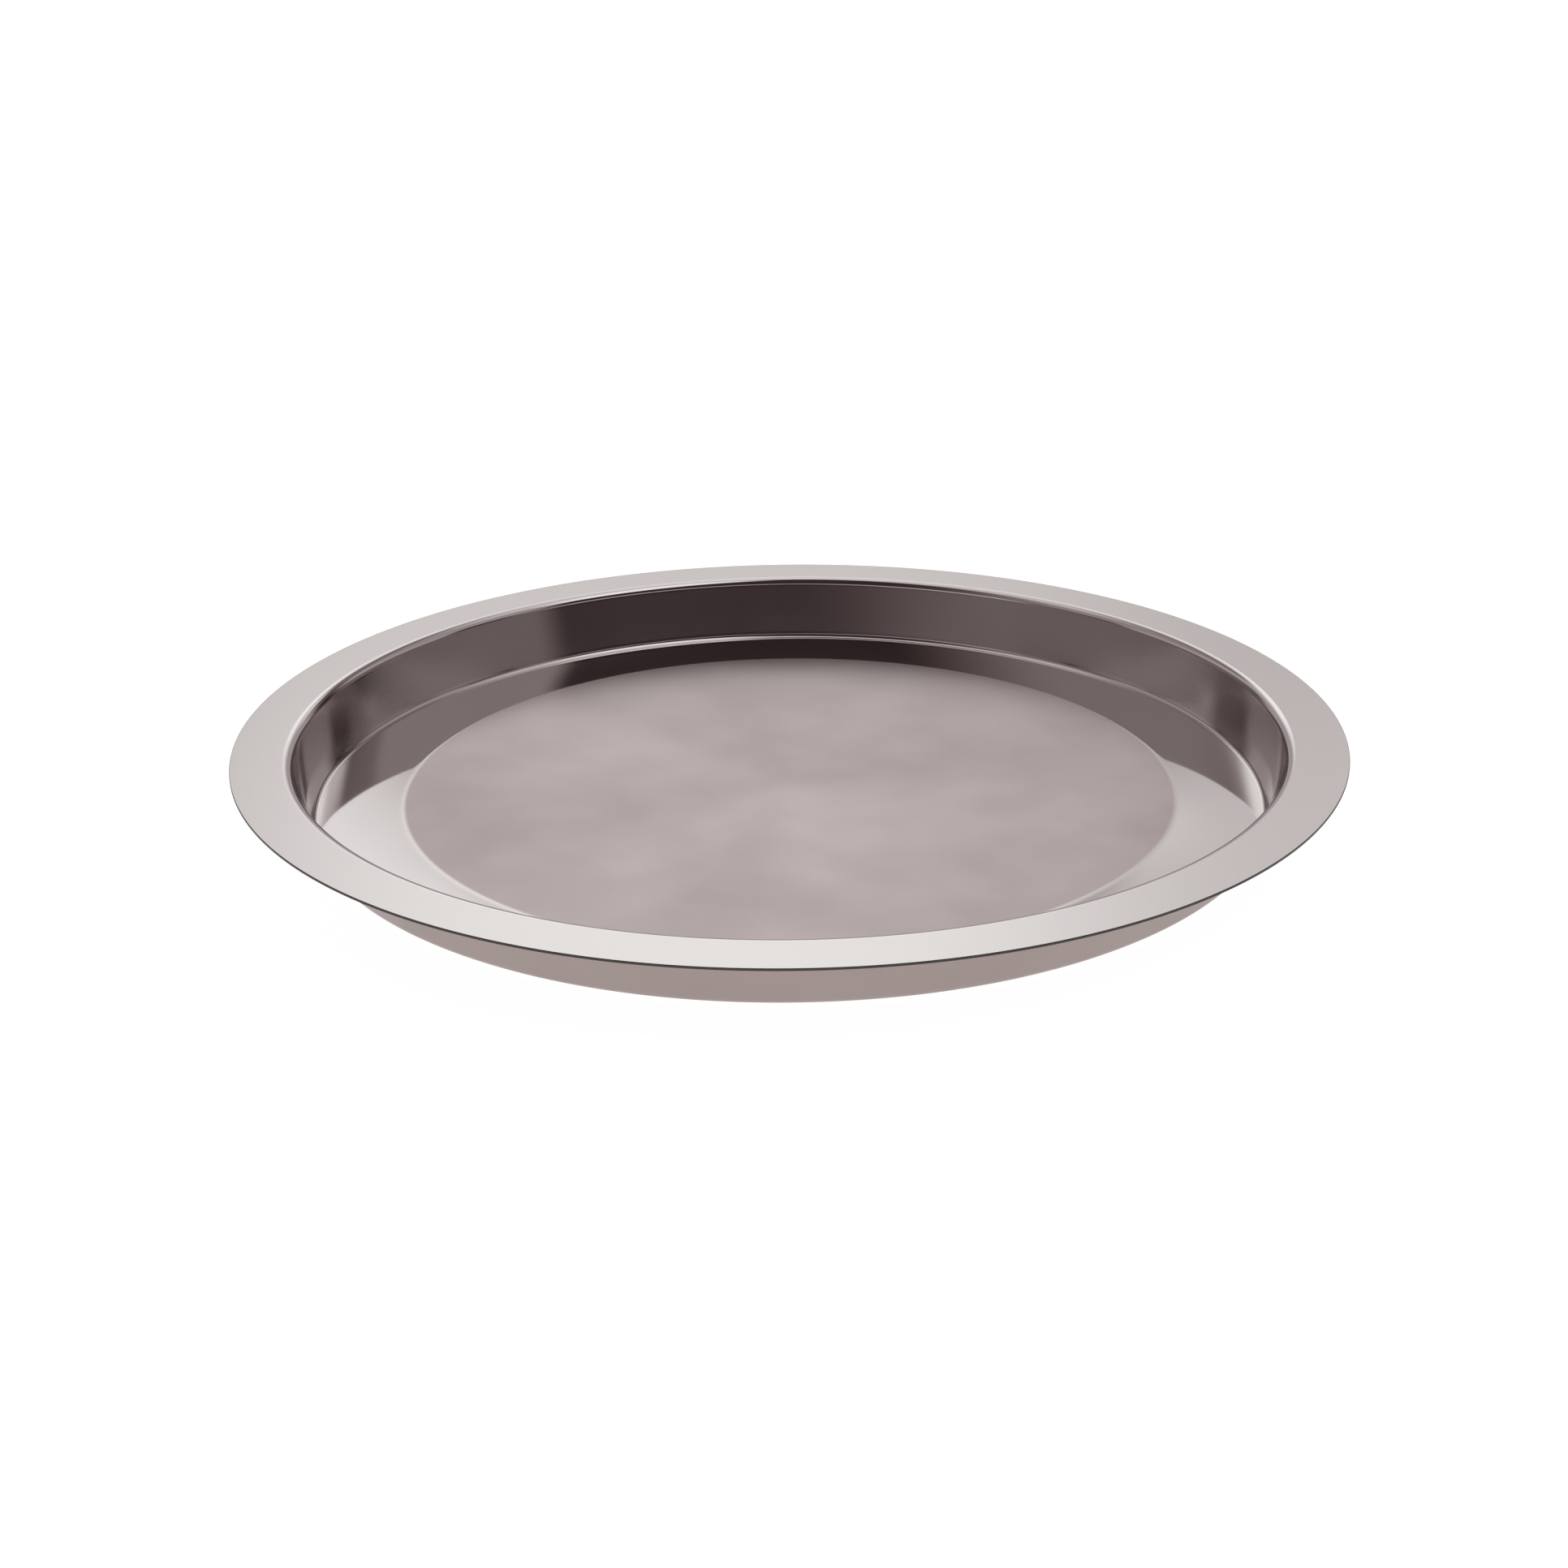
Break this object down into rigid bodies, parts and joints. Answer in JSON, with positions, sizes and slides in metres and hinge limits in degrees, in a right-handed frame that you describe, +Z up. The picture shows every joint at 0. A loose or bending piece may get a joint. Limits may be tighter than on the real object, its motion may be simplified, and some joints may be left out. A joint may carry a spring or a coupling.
{
  "type": "round steel pan",
  "caption": "Round shallow pan pressed from one steel sheet, with a wide flat rim, a steep wall and a level floor with a satin middle.",
  "frame": {"origin": "centre of the pan, on the surface that it stands on", "axes": "+Z up along the pan's axis of symmetry, out of its open side; +X and +Y in the plane of the base"},
  "size_m": [0.36, 0.36, 0.023],
  "materials": {
    "steel": "polished stainless steel, with a soft satin disc on the middle of the floor"
  },
  "bodies": {
    "root": {"pan_shell": "steel"}
  },
  "joints": []
}
